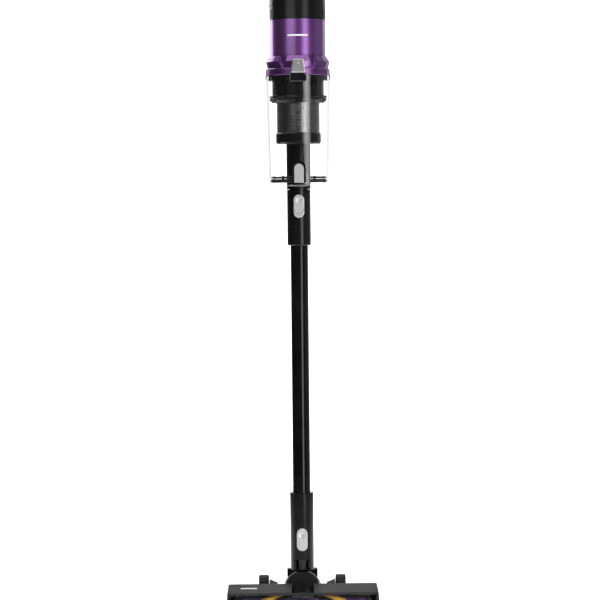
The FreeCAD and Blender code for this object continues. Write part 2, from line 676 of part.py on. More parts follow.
def cyclone_collar():
    """Black collar inside the bin's mouth, with four round-ended tabs."""
    body = turned([(36.0, 887.0), (46.6, 887.0), (47.0, 888.0), (47.0, LIP_Z[0] - 0.1),
                   (45.5, LIP_Z[0] - 0.1), (45.5, 905.7), (36.0, 905.7)], BIN_Y)
    for step in range(4):
        tab = cyl_y(5.0, BIN_Y - 47.8, BIN_Y - 41.6, 0, 886.5)
        tab.rotate(V(0, BIN_Y, 0), Z_AXIS, 45.0 + 90.0 * step)
        body = body.fuse(tab)
    return body


def cyclone_body():
    """Cyclone drum with the two-step flange at its foot."""
    return turned([(34.5, SHROUD_Z[1]), (40.5, SHROUD_Z[1]), (45.4, 856.5), (45.8, 858.0), (44.6, 859.6),
                   (45.8, 861.2), (45.4, 863.5), (41.2, 865.0), (41.2, 887.0), (34.5, 887.0)], BIN_Y)


def mesh_shroud():
    return pipe_z(SHROUD_R, SHROUD_R - 1.0, SHROUD_Z[0], SHROUD_Z[1], BIN_Y)


def foam_filter():
    return pipe_z(FOAM_R[1], FOAM_R[0], SHROUD_Z[0] + 1.0, FOAM_TOP, BIN_Y)


def cyclone_base():
    cup = turned([(0, 787.0), (33.5, 787.0), (36.0, 789.5), (36.0, 803.0), (34.5, SHROUD_Z[0]),
                  (0, SHROUD_Z[0])], BIN_Y)
    return cup.cut(cyl_z(26.0, 786.0, 797.0, BIN_Y))


HANDLE_PROFILE = [(-40.0, 931.0), (-40.0, 1037.0), (44.0, 1037.0), (72.0, 1018.0),
                  (114.0, 892.0), (74.0, 892.0), (42.0, 985.0), (17.0, 985.0), (17.0, 931.0)]
TRIGGER_Z = (948.0, 978.0)
TRIGGER_Y = (41.0, 61.0)
TRIGGER_W = 14.0
SPRING_SEAT = 70.0
MODE_Y = 2.0
MODE_R = 6.0
LENS_Y = (12.0, 40.0)
BOARD_Z = 1026.0


def handle_shell():
    """Handle: spine behind the motor, top bridge and the grip down to the battery."""
    half = HANDLE_W / 2
    body = prism_x(HANDLE_PROFILE, -half, half)
    sides = [e for e in body.Edges if all(abs(abs(v.X) - half) < 0.01 for v in e.Vertexes)
             and len({round(v.X, 1) for v in e.Vertexes}) == 1
             and min(v.Y for v in e.Vertexes) > -39 and max(v.Z for v in e.Vertexes) > 932]
    body = body.makeFillet(7.0, sides)
    body = body.cut(cyl_z(HOUSING_R + 0.6, 900, 1100, BIN_Y))
    wide = TRIGGER_W / 2 + GAP
    body = body.cut(box(-wide, wide, 30, SPRING_SEAT, TRIGGER_Z[0] - GAP, TRIGGER_Z[1] + GAP))
    body = body.cut(cyl_z(MODE_R + GAP, BOARD_Z + 2.0, 1040, MODE_Y))
    body = body.cut(box(-11.0, 11.0, LENS_Y[0], LENS_Y[1], 1035.4, 1040))
    return body.cut(box(-12.2, 12.2, -8.0, 38.0, BOARD_Z - 0.1, BOARD_Z + 2.1))


def trigger():
    """Finger trigger with a rounded front, sliding straight back into the grip."""
    half = TRIGGER_W / 2
    body = box(-half, half, TRIGGER_Y[0], TRIGGER_Y[1], TRIGGER_Z[0], TRIGGER_Z[1])
    return body.makeFillet(3.0, [e for e in body.Edges
                                 if all(abs(v.Y - TRIGGER_Y[0]) < 0.01 for v in e.Vertexes)])


def trigger_spring():
    z = sum(TRIGGER_Z) / 2
    return coil(4.0, 0.8, 4, SPRING_SEAT - TRIGGER_Y[1] - 0.1, V(0, TRIGGER_Y[1] + 0.05, z), Y_AXIS)


def mode_button():
    cap = cyl_z(MODE_R, BOARD_Z + 4.5, 1038.6, MODE_Y)
    top = [e for e in cap.Edges if e.Curve.TypeId == "Part::GeomCircle" and e.Vertexes[0].Z > 1038]
    return cap.makeFillet(0.8, top)


def display_lens():
    lens = box(-10.9, 10.9, LENS_Y[0] + 0.1, LENS_Y[1] - 0.1, 1035.4, 1037.4)
    return rounded(lens, 3.0, upright)


def control_board():
    return box(-12.0, 12.0, -7.8, 37.8, BOARD_Z, BOARD_Z + 1.6)


def battery_case():
    """Slide-off battery pack, hollow, with the jack socket in its rear face."""
    half = BATTERY_W / 2
    outer = box(-half, half, BATTERY_Y[0], BATTERY_Y[1], BATTERY_Z[0], BATTERY_Z[1])
    outer = rounded(outer, 10.0, upright)
    base = [e for e in outer.Edges if all(abs(v.Z - BATTERY_Z[0]) < 0.01 for v in e.Vertexes)]
    outer = outer.makeFillet(4.0, base)
    cells = box(-half + 5, half - 5, BATTERY_Y[0] + 12, BATTERY_Y[1] - 14,
                BATTERY_Z[0] + 4, BATTERY_Z[1] - 4)
    outer = outer.cut(cells)
    jack = cyl_y(SOCKET_BODY_R, BATTERY_Y[1] - SOCKET_BODY_LEN, BATTERY_Y[1] + 1, 0, JACK_Z)
    slot = box(-8.4, 8.4, BATTERY_Y[0] - 1, BATTERY_Y[0] + 8.0, 862.6, 879.4)
    return outer.cut(jack).cut(slot)


def battery_cells():
    """Six cells in two rows, standing in the case."""
    cells = []
    for row in (0, 1):
        for column in (-1, 0, 1):
            x = column * CELL_PITCH[0]
            y = BATTERY_Y[0] + 26.0 + row * CELL_PITCH[1]
            cells.append(cyl_z(CELL_R, BATTERY_Z[0] + 4.0, BATTERY_Z[1] - 6.0, y, x))
    return Part.makeCompound(cells)


def battery_button():
    """Square thumb latch in the battery's front face."""
    block = box(-8.0, 8.0, BATTERY_Y[0] - 2.0, BATTERY_Y[0] + 5.0, 863.0, 879.0)
    return block.makeFillet(1.5, [e for e in block.Edges
                                  if all(abs(v.Y - BATTERY_Y[0] + 2.0) < 0.01 for v in e.Vertexes)])


def charge_socket():
    rear = BATTERY_Y[1]
    body = cyl_y(SOCKET_BODY_R, rear - SOCKET_BODY_LEN, rear - 0.3, 0, JACK_Z)
    return body.cut(cyl_y(JACK_R, rear - 0.3 - JACK_DEPTH, rear, 0, JACK_Z))


# ----------------------------------------------------------------- dust bin

def bin_cone(inset, z0, z1):
    """Tapered bin body between two heights, made smaller by inset."""
    slope = (BIN_R_TOP - BIN_R_BOTTOM) / (BIN_TOP - BIN_BOTTOM)
    r0 = BIN_R_BOTTOM + slope * (z0 - BIN_BOTTOM) - inset
    r1 = BIN_R_BOTTOM + slope * (z1 - BIN_BOTTOM) - inset
    return Part.makeCone(r0, r1, z1 - z0, V(0, BIN_Y, z0), Z_AXIS)


HINGE_Y = -25.6
HINGE_Z = 720.9
HINGE_R = 3.0


def dust_bin():
    outer = bin_cone(0.0, BIN_BOTTOM, BIN_TOP)
    wall = outer.cut(bin_cone(BIN_WALL, BIN_BOTTOM - 1, BIN_TOP + 1))
    for side in (-1, 1):
        low, up = sorted((side * 6.0, side * 15.0))
        lug = cyl_x(HINGE_R, low, up, HINGE_Y, HINGE_Z)
        web = box(low, up, HINGE_Y - 4.6, HINGE_Y + HINGE_R, HINGE_Z, HINGE_Z + 10.0)
        lug = lug.fuse(web).cut(bin_cone(BIN_WALL, BIN_BOTTOM - 20, BIN_TOP))
        lug = lug.common(box(low, up, -40, -20, HINGE_Z - HINGE_R, 740))
        wall = wall.fuse(lug.cut(box(low, up, -60, HINGE_Y - HINGE_R, 700, BIN_BOTTOM)))
        wall = wall.cut(cyl_x(1.5, low - 1, up + 1, HINGE_Y, HINGE_Z))
    return wall


def bin_hinge_pin():
    return cyl_x(1.5, -15.0, 15.0, HINGE_Y, HINGE_Z)


def bin_lid():
    """Bottom lid: plate, inner spigot wall with two posts, hinge knuckle at the rear."""
    plate = cyl_z(LID_R, LID_Z[0], LID_Z[1], BIN_Y)
    low = [e for e in plate.Edges if e.Curve.TypeId == "Part::GeomCircle"
           and abs(e.Vertexes[0].Z - LID_Z[0]) < 0.01]
    plate = plate.makeFillet(3.0, low)
    inner = pipe_z(SPIGOT_WALL_R, SPIGOT_WALL_R - 2.0, LID_Z[1], 736.5, BIN_Y)
    plug = cyl_z(SPIGOT_WALL_R, LID_Z[1] - 0.4, 728.0, BIN_Y)
    posts = [cyl_z(2.2, 723.0, 738.0, BIN_Y - 20.0, x) for x in (-25.0, 25.0)]
    knuckle_part = cyl_x(HINGE_R, -5.6, 5.6, HINGE_Y, HINGE_Z)
    tongue = box(-5.6, 5.6, HINGE_Y - 8.0, HINGE_Y, LID_Z[0] + 0.2, LID_Z[1])
    slots = [box(s * 10.5 - 5.0, s * 10.5 + 5.0, HINGE_Y - HINGE_R - 0.5, 0, 700, 740) for s in (-1, 1)]
    body = join([plate, inner, plug] + posts)
    for slot in slots:
        body = body.cut(slot)
    body = join([body, knuckle_part, tongue])
    return body.cut(cyl_x(1.5 + SHAFT_GAP, -7, 7, HINGE_Y, HINGE_Z))


def lid_seal():
    """Two lip seals round the lid's spigot."""
    seat = SPIGOT_WALL_R
    upper = turned([(seat, 732.0), (44.3, 732.9), (44.3, 734.3), (seat, 735.2)], BIN_Y)
    lower = turned([(seat, 725.4), (44.0, 726.0), (44.6, 727.2), (44.6, 729.4), (44.0, 730.6),
                    (seat, 731.2)], BIN_Y)
    return Part.makeCompound([upper, lower])


LID_BUTTON_FRONT = -129.6
LID_BUTTON_BACK = -125.6


def button_surround():
    """Arched frame on the bin's front that guides the lid button."""
    frame = arch_y(21.4, LID_BUTTON_FRONT + 1.2, BIN_Y - 44, 725.0, 760.0)
    frame = frame.cut(arch_y(15.4 + 2 * GAP, -140, BIN_Y, 720.0, 755.6))
    return frame.cut(bin_cone(0.0, BIN_BOTTOM, BIN_TOP))


def lid_button():
    block = arch_y(15.4, LID_BUTTON_FRONT, LID_BUTTON_BACK, 725.2, 755.2)
    return block.makeFillet(1.2, [e for e in block.Edges
                                  if all(abs(v.Y - LID_BUTTON_FRONT) < 0.01 for v in e.Vertexes)])


def bin_catch():
    """Keeper loop on the bin's front, under the latch."""
    block = box(-13.0, 13.0, -129.6, -118.0, 883.8, 894.2)
    block = rounded(block, 4.0, lambda e: all(abs(v.Z - 883.8) < 0.01 for v in e.Vertexes)
                    and abs(e.Vertexes[0].Y - e.Vertexes[1].Y) > 1)
    block = block.cut(box(-6.0, 6.0, -140, -100, 888.4, 892.6))
    return block.cut(bin_cone(0.0, BIN_BOTTOM, BIN_TOP))


def bin_latch():
    """Silver thumb latch on the ring's front, pushed up to free the bin."""
    face = [(-11.6, 897.4), (11.6, 897.4), (8.4, 919.0), (-8.4, 919.0)]
    body = prism_y(face, LATCH_Y[0], LATCH_Y[1])
    front = [e for e in body.Edges if all(abs(v.Y - LATCH_Y[0]) < 0.01 for v in e.Vertexes)]
    body = body.makeChamfer(1.6, front)
    return body


def main():
    os.makedirs("parts", exist_ok=True)
    save("head_base", head_base())
    save("head_cover", head_cover())
    save("head_window", head_window())
    save("duct_cover", duct_cover())
    save("end_cap_left", end_cap(-1))
    save("end_cap_right", end_cap(1))
    save("front_bumper", front_bumper())
    save("squeegee_strip", squeegee_strip())
    save("head_screws", head_screws())
    save("brush_bearings", brush_bearings())
    save("brush_core", brush_core())
    save("brush_motor", brush_motor())
    save("brush_pile", brush_pile())
    save("sole_roller_left", sole_roller(-1))
    save("sole_roller_right", sole_roller(1))
    save("rear_carriage", rear_carriage())
    save("wheel_axles", wheel_axles())
    save("rear_wheel_left", rear_wheel(-1))
    save("rear_wheel_right", rear_wheel(1))
    save("knuckle_dome", knuckle())
    save("knuckle_pins", knuckle_pins())
    save("swivel_pin", swivel_pin())
    save("neck_housing", neck_housing())
    save("neck_inner_duct", neck_inner_duct())
    save("neck_button", release_button(NECK_BUTTON_Z, NECK_BUTTON_BACK))
    save("neck_button_spring", button_spring(NECK_BUTTON_Z, NECK_BUTTON_BACK, NECK_POCKET))
    save("wand_tube", wand_tube())
    save("wand_lower_collar", lower_collar())
    save("wand_upper_collar", upper_collar())
    save("wand_button", release_button(WAND_BUTTON_Z, WAND_BUTTON_BACK))
    save("wand_button_spring", button_spring(WAND_BUTTON_Z, WAND_BUTTON_BACK, WAND_POCKET))
    save("inlet_duct", inlet_duct())
    save("facet_ring", facet_ring())
    save("motor_shell", motor_shell())
    save("upper_housing", upper_housing())
    save("exhaust_cap", exhaust_cap())
    save("exhaust_filter", exhaust_filter())
    save("fan_motor", fan_motor())
    save("cyclone_collar", cyclone_collar())
    save("cyclone_body", cyclone_body())
    save("mesh_shroud", mesh_shroud())
    save("foam_filter", foam_filter())
    save("cyclone_base", cyclone_base())
    save("handle_shell", handle_shell())
    save("trigger", trigger())
    save("trigger_spring", trigger_spring())
    save("mode_button", mode_button())
    save("display_lens", display_lens())
    save("control_board", control_board())
    save("battery_case", battery_case())
    save("battery_cells", battery_cells())
    save("battery_button", battery_button())
    save("charge_socket", charge_socket())
    save("dust_bin", dust_bin())
    save("bin_front_fittings", Part.makeCompound([button_surround(), bin_catch()]))
    save("bin_hinge_pin", bin_hinge_pin())
    save("bin_lid", bin_lid())
    save("lid_seal", lid_seal())
    save("lid_button", lid_button())
    save("bin_latch", bin_latch())


main()
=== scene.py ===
import json
import math
import random

import bmesh
import bpy
from mathutils import Matrix, Vector


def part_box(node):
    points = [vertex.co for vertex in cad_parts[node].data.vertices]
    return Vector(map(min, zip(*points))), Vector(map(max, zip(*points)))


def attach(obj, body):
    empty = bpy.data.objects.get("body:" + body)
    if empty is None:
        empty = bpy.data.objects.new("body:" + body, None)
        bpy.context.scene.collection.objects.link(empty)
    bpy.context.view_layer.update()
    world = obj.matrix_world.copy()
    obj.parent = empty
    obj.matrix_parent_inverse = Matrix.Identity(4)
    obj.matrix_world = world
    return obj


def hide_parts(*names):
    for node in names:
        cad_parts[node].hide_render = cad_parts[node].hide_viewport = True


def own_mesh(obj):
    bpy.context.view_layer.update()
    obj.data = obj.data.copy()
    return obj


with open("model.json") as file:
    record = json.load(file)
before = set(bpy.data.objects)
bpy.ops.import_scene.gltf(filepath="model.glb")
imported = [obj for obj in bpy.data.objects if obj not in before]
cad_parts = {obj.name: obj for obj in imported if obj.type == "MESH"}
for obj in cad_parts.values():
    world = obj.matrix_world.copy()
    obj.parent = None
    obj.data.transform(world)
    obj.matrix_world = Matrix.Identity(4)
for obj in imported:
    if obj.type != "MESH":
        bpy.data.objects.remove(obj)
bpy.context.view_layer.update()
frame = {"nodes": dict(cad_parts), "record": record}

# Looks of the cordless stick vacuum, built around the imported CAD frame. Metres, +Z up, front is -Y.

NODES = frame["nodes"]
MM = 0.001
rng = random.Random(7)

# ------------------------------------------------------------------ places


def middle(node):
    low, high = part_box(node)
    return (low + high) / 2


WAND_Y = middle("wand_tube").y
BIN_Y = middle("motor_shell").y
BRUSH = middle("brush_core")
SHELL_R = (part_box("motor_shell")[1].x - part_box("motor_shell")[0].x) / 2
LATCH_LOW, LATCH_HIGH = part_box("bin_latch")
LIP_EDGE = (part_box("facet_ring")[1].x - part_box("facet_ring")[0].x) / 2
LIP_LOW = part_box("facet_ring")[0].z
SWIVEL_Z = 54.0 * MM
SHELL_BAR_Z = 957.0 * MM


# --------------------------------------------------------------- materials


class Shader:
    """A small wrapper that builds one Principled material from nodes."""

    def __init__(self, name):
        self.mat = bpy.data.materials.new(name)
        self.mat.use_nodes = True
        self.tree = self.mat.node_tree
        self.bsdf = self.tree.nodes["Principled BSDF"]
        self.coords = self.add("ShaderNodeTexCoord").outputs["Object"]

    def add(self, kind, **values):
        node = self.tree.nodes.new(kind)
        for key, value in values.items():
            if hasattr(node, key):
                setattr(node, key, value)
            else:
                node.inputs[key.replace("_", " ")].default_value = value
        return node

    def link(self, source, target):
        self.tree.links.new(source, target)

    def scaled(self, factors):
        node = self.add("ShaderNodeMapping")
        node.inputs["Scale"].default_value = factors
        self.link(self.coords, node.inputs["Vector"])
        return node.outputs["Vector"]

    def noise(self, scale, detail=2.0, coords=None, roughness=0.5):
        node = self.add("ShaderNodeTexNoise", Scale=scale, Detail=detail, Roughness=roughness)
        self.link(coords or self.coords, node.inputs["Vector"])
        return node.outputs["Fac"]

    def voronoi(self, scale, output="Distance", coords=None):
        node = self.add("ShaderNodeTexVoronoi", Scale=scale)
        self.link(coords or self.coords, node.inputs["Vector"])
        return node.outputs[output]

    def remap(self, value, low, high, start=0.0, end=1.0):
        node = self.add("ShaderNodeMapRange")
        node.inputs["From Min"].default_value = start
        node.inputs["From Max"].default_value = end
        node.inputs["To Min"].default_value = low
        node.inputs["To Max"].default_value = high
        self.link(value, node.inputs["Value"])
        return node.outputs["Result"]

    def maths(self, operation, first, second=None):
        node = self.add("ShaderNodeMath", operation=operation)
        for socket, value in zip(node.inputs, (first, second)):
            if value is None:
                continue
            if isinstance(value, (int, float)):
                socket.default_value = value
            else:
                self.link(value, socket)
        return node.outputs["Value"]

    def mix(self, factor, first, second):
        node = self.add("ShaderNodeMix", data_type="RGBA")
        self.link(factor, node.inputs["Factor"])
        for socket, value in ((node.inputs[6], first), (node.inputs[7], second)):
            if isinstance(value, tuple):
                socket.default_value = (*value, 1.0)
            else:
                self.link(value, socket)
        return node.outputs[2]

    def bump(self, height, distance, strength=1.0, after=None):
        node = self.add("ShaderNodeBump", Distance=distance, Strength=strength)
        self.link(height, node.inputs["Height"])
        if after is not None:
            self.link(after, node.inputs["Normal"])
        return node.outputs["Normal"]

    def set(self, **values):
        for key, value in values.items():
            socket = self.bsdf.inputs[key.replace("_", " ")]
            if isinstance(value, (int, float)):
                socket.default_value = value
            elif isinstance(value, tuple):
                socket.default_value = (*value, 1.0)
            else:
                self.link(value, socket)
        return self


def moulded(name, colour, roughness, grain=0.00002, grain_scale=2600.0, coat=0.0, index=1.45):
    """Moulded plastic: fine spark texture, slight tone drift and handling smudges."""
    s = Shader(name)
    drift = s.remap(s.noise(9.0, 3.0), 0.0, 1.0, 0.3, 0.7)
    lighter = tuple(c * 1.25 + 0.002 for c in colour)
    smudge = s.noise(42.0, 4.0, roughness=0.62)
    spark = s.voronoi(grain_scale)
    flow = s.noise(55.0, 2.0)
    normal = s.bump(spark, grain, 0.5, s.bump(flow, 0.00002, 0.2))
    s.set(Base_Color=s.mix(drift, colour, lighter), Normal=normal,
          Roughness=s.remap(smudge, roughness - 0.02, roughness + 0.05, 0.3, 0.7))
    s.set(Coat_Weight=coat, Coat_Roughness=0.06, IOR=index)
    return s.mat


def glossy(name, colour, roughness=0.12):
    """Polished plastic with faint orange peel and hairline swirls."""
    s = Shader(name)
    peel = s.noise(160.0, 2.0)
    hair = s.noise(900.0, 3.0, s.scaled((1.0, 1.0, 0.08)))
    haze = s.noise(30.0, 3.0)
    normal = s.bump(peel, 0.00002, 0.15, s.bump(hair, 0.000006, 0.3))
    tone = s.mix(s.remap(haze, 0.0, 1.0, 0.35, 0.65), colour, tuple(c * 1.4 + 0.002 for c in colour))
    s.set(Base_Color=tone, Normal=normal,
          Roughness=s.remap(haze, roughness - 0.03, roughness + 0.05, 0.3, 0.7))
    return s.mat


FLAKE_DARK = (0.32, 0.12, 0.46)
FLAKE_LIGHT = (0.5, 0.19, 0.7)


def lacquer(name="purple_lacquer", depth=1.0):
    """Metallic purple lacquer: fine flakes under a clear coat; a lower depth is a darker purple, which the
    facet ring gets as painted shade.
    """
    s = Shader(name)
    flakes = s.add("ShaderNodeTexVoronoi", Scale=3800.0)
    s.link(s.coords, flakes.inputs["Vector"])
    shine = s.remap(flakes.outputs["Color"], 0.0, 1.0, 0.2, 0.9)
    drift = s.noise(14.0, 2.0)
    base = s.mix(shine, tuple(c * depth for c in FLAKE_DARK), tuple(c * depth for c in FLAKE_LIGHT))
    normal = s.bump(flakes.outputs["Distance"], 0.000012, 0.5, s.bump(drift, 0.00008, 0.15))
    s.set(Base_Color=base, Metallic=0.92, Normal=normal, Roughness=s.remap(drift, 0.28, 0.34, 0.3, 0.7))
    s.set(Coat_Weight=1.0, Coat_Roughness=0.1, Coat_IOR=1.6)
    return s.mat


def silver(name="silver_paint", tone=0.6, metallic=0.75):
    """Satin silver paint with fine flake."""
    s = Shader(name)
    flakes = s.voronoi(4200.0, "Color")
    cloud = s.noise(60.0, 3.0)
    base = s.mix(s.remap(flakes, 0.25, 0.75), (tone * 0.9,) * 3, (tone * 1.12,) * 3)
    normal = s.bump(cloud, 0.00004, 0.2, s.bump(flakes, 0.000008, 0.4))
    s.set(Base_Color=base, Metallic=metallic, Normal=normal, Roughness=s.remap(cloud, 0.24, 0.36, 0.3, 0.7))
    return s.mat


def brushed(name, tone=0.55):
    """Turned or drawn steel with fine lines round the axis."""
    s = Shader(name)
    lines = s.noise(700.0, 3.0, s.scaled((0.06, 1.0, 1.0)))
    base = s.mix(s.remap(lines, 0.0, 1.0, 0.3, 0.7), (tone * 0.8,) * 3, (tone * 1.1,) * 3)
    s.set(Base_Color=base, Metallic=1.0, Normal=s.bump(lines, 0.00001, 0.5),
          Roughness=s.remap(lines, 0.25, 0.4, 0.3, 0.7))
    return s.mat


def rubber(name="soft_rubber", colour=(0.014, 0.014, 0.015)):
    s = Shader(name)
    grain = s.noise(1800.0, 3.0)
    dust = s.remap(s.noise(120.0, 5.0, roughness=0.7), 0.0, 0.5, 0.5, 0.8)
    s.set(Base_Color=s.mix(dust, colour, (0.045, 0.044, 0.042)), Normal=s.bump(grain, 0.00006, 0.6),
          Roughness=s.remap(dust, 0.62, 0.85, 0.0, 0.5))
    return s.mat


def clear_plastic(name, tint=(0.985, 0.99, 0.992), edge=(0.52, 0.53, 0.55), strength=1.9, axis=None):
    """Clear shell: looks straight through, with a mirror skin that grows towards the edges.

    With an upright axis, only the faces that point away from it mirror, not the inner wall.
    """
    s = Shader(name)
    tree = s.tree
    wave = s.noise(38.0, 2.0)
    scuff = s.noise(260.0, 5.0, roughness=0.7)
    normal = s.bump(wave, 0.00005, 0.2)
    fresnel = s.add("ShaderNodeFresnel", IOR=strength)
    through = s.add("ShaderNodeBsdfTransparent")
    facing = s.add("ShaderNodeLayerWeight", Blend=0.5).outputs["Facing"]
    s.link(s.mix(s.remap(facing, 0.0, 1.0, 0.58, 1.0), tint, edge), through.inputs["Color"])
    skin = s.bsdf
    skin.inputs["Base Color"].default_value = (0.9, 0.91, 0.92, 1.0)
    skin.inputs["Metallic"].default_value = 1.0
    s.link(s.remap(scuff, 0.015, 0.07, 0.35, 0.75), skin.inputs["Roughness"])
    s.link(normal, skin.inputs["Normal"])
    geometry = s.add("ShaderNodeNewGeometry")
    outward = s.maths("SUBTRACT", 1.0, geometry.outputs["Backfacing"])
    blend = s.add("ShaderNodeMixShader")
    shine = s.maths("MULTIPLY", fresnel.outputs["Fac"], outward)
    if axis is not None:
        here = s.add("ShaderNodeTexCoord")
        away = s.add("ShaderNodeVectorMath", operation="SUBTRACT")
        s.link(here.outputs["Object"], away.inputs[0])
        away.inputs[1].default_value = axis
        level = s.add("ShaderNodeVectorMath", operation="MULTIPLY")
        s.link(away.outputs["Vector"], level.inputs[0])
        level.inputs[1].default_value = (1.0, 1.0, 0.0)
        along = s.add("ShaderNodeVectorMath", operation="DOT_PRODUCT")
        s.link(level.outputs["Vector"], along.inputs[0])
        s.link(here.outputs["Normal"], along.inputs[1])
        shine = s.maths("MULTIPLY", shine, s.maths("GREATER_THAN", along.outputs["Value"], 0.0))
    s.link(shine, blend.inputs["Fac"])
    s.link(through.outputs["BSDF"], blend.inputs[1])
    s.link(skin.outputs["BSDF"], blend.inputs[2])
    s.link(blend.outputs["Shader"], tree.nodes["Material Output"].inputs["Surface"])
    return s.mat


def filter_paper():
    s = Shader("filter_paper")
    fibre = s.noise(900.0, 5.0, s.scaled((1.0, 1.0, 0.3)))
    s.set(Base_Color=s.mix(fibre, (0.74, 0.73, 0.69), (0.88, 0.87, 0.84)), Roughness=0.9,
          Normal=s.bump(fibre, 0.0002, 0.6))
    return s.mat


def foam():
    s = Shader("filter_foam")
    cells = s.voronoi(900.0)
    s.set(Base_Color=s.mix(cells, (0.02, 0.02, 0.022), (0.07, 0.07, 0.075)), Roughness=0.95,
          Normal=s.bump(cells, 0.0006, 0.8))
    return s.mat


def board():
    s = Shader("circuit_board")
    tracks = s.noise(300.0, 0.0, s.scaled((1.0, 3.0, 1.0)))
    s.set(Base_Color=s.mix(s.remap(tracks, 0.0, 1.0, 0.48, 0.52), (0.01, 0.07, 0.03), (0.03, 0.16, 0.07)),
          Roughness=0.35, Normal=s.bump(tracks, 0.00005, 0.6))
    return s.mat


def bristle(name, dark, light):
    """Dense nylon pile: short strands standing out of the roll."""
    s = Shader(name)
    strands = s.noise(1400.0, 4.0, s.scaled((1.0, 0.35, 0.35)))
    clumps = s.noise(170.0, 3.0)
    tone = s.maths("MULTIPLY", s.remap(strands, 0.0, 1.0, 0.3, 0.7), s.remap(clumps, 0.5, 1.0, 0.3, 0.7))
    s.set(Base_Color=s.mix(tone, dark, light), Roughness=0.7, Normal=s.bump(strands, 0.0006, 0.7))
    s.set(Sheen_Weight=0.4, Sheen_Roughness=0.4)
    return s.mat


MATERIALS = {
    "head_grey": moulded("head_grey_plastic", (0.038, 0.038, 0.039), 0.6, grain=0.00003, index=1.2),
    "gloss_black": glossy("polished_black", (0.006, 0.006, 0.007)),
    "satin_black": moulded("satin_black_plastic", (0.006, 0.006, 0.0064), 0.2, index=1.5),
    "wheel_black": moulded("wheel_plastic", (0.008, 0.008, 0.0085), 0.5, index=1.25),
    "clear": clear_plastic("clear_polycarbonate", axis=(0.0, BIN_Y, 0.0)),
    "window": clear_plastic("clear_window", tint=(0.99, 0.99, 0.99), edge=(0.9, 0.9, 0.9), strength=1.15),
    "purple_metal": lacquer(),
    # painted shade: the facet ring gets a darker copy of the purple lacquer, standing in for the shade on its
    # facets
    "ring_purple_painted_shade": lacquer("ring_lacquer_painted_shade", 0.68),
    "silver": silver(),
    # painted light: a lighter, less metallic copy of the silver paint for the buttons, standing in for the
    # light they catch
    "silver_painted_light": silver("silver_paint_painted_light", 0.85, metallic=0.45),
    "housing_grey": moulded("dark_grey_plastic", (0.022, 0.022, 0.023), 0.45, index=1.35),
    # partly painted highlight: dark grey, lighter than the black loop, so the catch frame's edges show as lit
    "frame_grey_highlight": moulded("frame_grey_highlight_plastic", (0.07, 0.07, 0.073), 0.3),
    # painted highlight: pale grey for the rod on the swivel dome's front edge
    "rim_highlight_grey": moulded("rim_highlight_grey_plastic", (0.22, 0.22, 0.225), 0.35),
    # painted highlight: near-white, little metallic silver for the rod on the latch's edge
    "painted_highlight": silver("painted_highlight_silver", 0.95, metallic=0.35),
    "carriage": moulded("matt_black_plastic", (0.012, 0.012, 0.0125), 0.6, index=1.2),
    "tube_metal": glossy("anodised_tube", (0.004, 0.004, 0.0045), 0.1),
    "inner_sleeve": moulded("shroud_sleeve", (0.006, 0.006, 0.006), 0.35),
    "gauze": brushed("gauze_steel", 0.5),
    "steel": brushed("plain_steel"),
    "neck_black": moulded("neck_plastic", (0.006, 0.006, 0.0064), 0.2, index=1.36),
    "tongue_grey": moulded("tongue_plastic", (0.42, 0.42, 0.425), 0.35),
    "rubber": rubber(),
    "pile": bristle("purple_pile", (0.06, 0.02, 0.1), (0.34, 0.14, 0.52)),
    "yellow_pile": bristle("yellow_bristle", (0.72, 0.36, 0.02), (1.0, 0.62, 0.06)),
    "black_pile": bristle("black_bristle", (0.006, 0.006, 0.006), (0.03, 0.03, 0.03)),
    "filter": filter_paper(),
    "foam": foam(),
    "board": board(),
    "light_grey": moulded("light_grey_plastic", (0.85, 0.85, 0.85), 0.3),
    "accent": moulded("accent_white", (0.75, 0.75, 0.76), 0.35),
    "grip": rubber("grip_rubber", (0.02, 0.02, 0.022)),
}
SPECIAL = {"head_window": "window", "foam_filter": "foam", "rear_wheel_left": "wheel_black",
           "rear_wheel_right": "wheel_black", "sole_roller_left": "wheel_black",
           "sole_roller_right": "wheel_black", "battery_cells": "steel", "neck_button": "silver_painted_light",
           "wand_button": "silver_painted_light", "knuckle_dome": "housing_grey", "rear_carriage": "carriage",
           "mesh_shroud": "inner_sleeve", "neck_housing": "neck_black", "wand_lower_collar": "neck_black",
           "lid_button": "tongue_grey", "facet_ring": "ring_purple_painted_shade"}


def dress_cad():
    """Give every CAD node its procedural material."""
    slots = {part["node"]: part["material_slot"] for part in frame["record"]["subparts"]}
    for name, obj in NODES.items():
        obj.data.materials.clear()
        obj.data.materials.append(MATERIALS[SPECIAL.get(name, slots[name])])


# ------------------------------------------------------------- mesh helpers


def bridge(bm, loops):
    """Quads between neighbouring closed loops of vertices."""
    for first, second in zip(loops, loops[1:]):
        for i in range(len(first)):
            k = (i + 1) % len(first)
            bm.faces.new((first[i], first[k], second[k], second[i]))


def closed_body(bm, loops):
    """Bridged loops with a cap at both ends."""
    bridge(bm, loops)
    bm.faces.new(loops[0])
    bm.faces.new(list(reversed(loops[-1])))


def piece(name, bm, material, body, smooth=True):
    """Turn a bmesh into a piece that rides on a body."""
    bmesh.ops.recalc_face_normals(bm, faces=bm.faces)
    mesh = bpy.data.meshes.new(name)
    bm.to_mesh(mesh)
    bm.free()
    for polygon in mesh.polygons:
        polygon.use_smooth = smooth
    obj = bpy.data.objects.new(name, mesh)
    bpy.context.scene.collection.objects.link(obj)
    mesh.materials.append(MATERIALS[material])
    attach(obj, body)
    return obj


# ------------------------------------------------------------------ pieces

